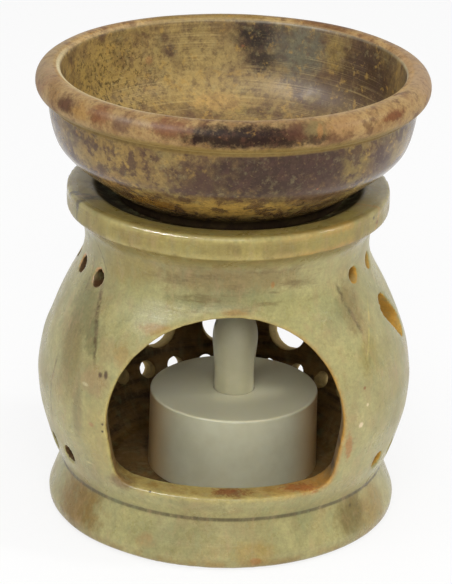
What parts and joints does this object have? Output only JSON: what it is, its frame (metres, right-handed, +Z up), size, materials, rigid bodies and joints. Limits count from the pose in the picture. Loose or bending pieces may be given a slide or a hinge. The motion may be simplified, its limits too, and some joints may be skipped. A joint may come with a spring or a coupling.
{
  "type": "essential oil burner",
  "caption": "Turned soapstone oil burner: pierced bellied stand with a front arch, lift-off mottled bowl with a rolled lip, and an LED tealight standing inside.",
  "frame": {"origin": "centre of the stand's underside, where it rests on the table", "axes": "+Z up the turning axis, the arch faces -Y, +X to the right as seen from the front"},
  "size_m": [0.086, 0.086, 0.1026],
  "materials": {
    "stand_stone": "semi-gloss polished soapstone, pale green-grey with brown veins",
    "bowl_stone": "polished dark mottled soapstone",
    "case_plastic": "satin moulded plastic",
    "flame_plastic": "satin translucent plastic",
    "base_plastic": "satin moulded plastic",
    "switch_plastic": "black moulded plastic",
    "led_epoxy": "clear warm epoxy",
    "lead_steel": "tinned wire",
    "contact_brass": "spring strip",
    "cell_steel": "stamped steel",
    "cell_gasket": "moulded seal",
    "cell_cathode": "pressed powder pellet",
    "cell_separator": "non-woven disc",
    "cell_lithium": "soft foil disc"
  },
  "bodies": {
    "burner": {"burner_body": "stand_stone"},
    "bowl": {"oil_bowl": "bowl_stone"},
    "hatch": {"battery_hatch": "base_plastic"},
    "switch": {"switch_knob": "switch_plastic", "switch_bridge": "contact_brass"},
    "tealight": {"tealight_case": "case_plastic", "flame_tip": "flame_plastic", "base_cover": "base_plastic", "led_dome": "led_epoxy", "led_anode_lead": "lead_steel", "led_cathode_lead": "lead_steel", "positive_contact": "contact_brass", "negative_contact": "contact_brass", "switch_contact": "contact_brass", "coin_cell_can": "cell_steel", "coin_cell_cathode": "cell_cathode", "coin_cell_separator": "cell_separator", "coin_cell_lithium": "cell_lithium", "coin_cell_gasket": "cell_gasket", "coin_cell_cap": "cell_steel"}
  },
  "joints": [
    {"name": "bowl_lift", "type": "slide", "parent": "burner", "child": "bowl", "axis": [0, 0, 1], "range_m": [0, 0.06]},
    {"name": "tealight_lift", "type": "slide", "parent": "burner", "child": "tealight", "axis": [0, 0, 1], "range_m": [0, 0.02]},
    {"name": "switch_slide", "type": "slide", "parent": "tealight", "child": "switch", "axis": [1, 0, 0], "range_m": [0, 0.0025]},
    {"name": "hatch_turn", "type": "hinge", "parent": "tealight", "child": "hatch", "pos_m": [0.00241, 0, 0.0091], "axis": [0, 0, 1], "range_deg": [0, 30]}
  ]
}
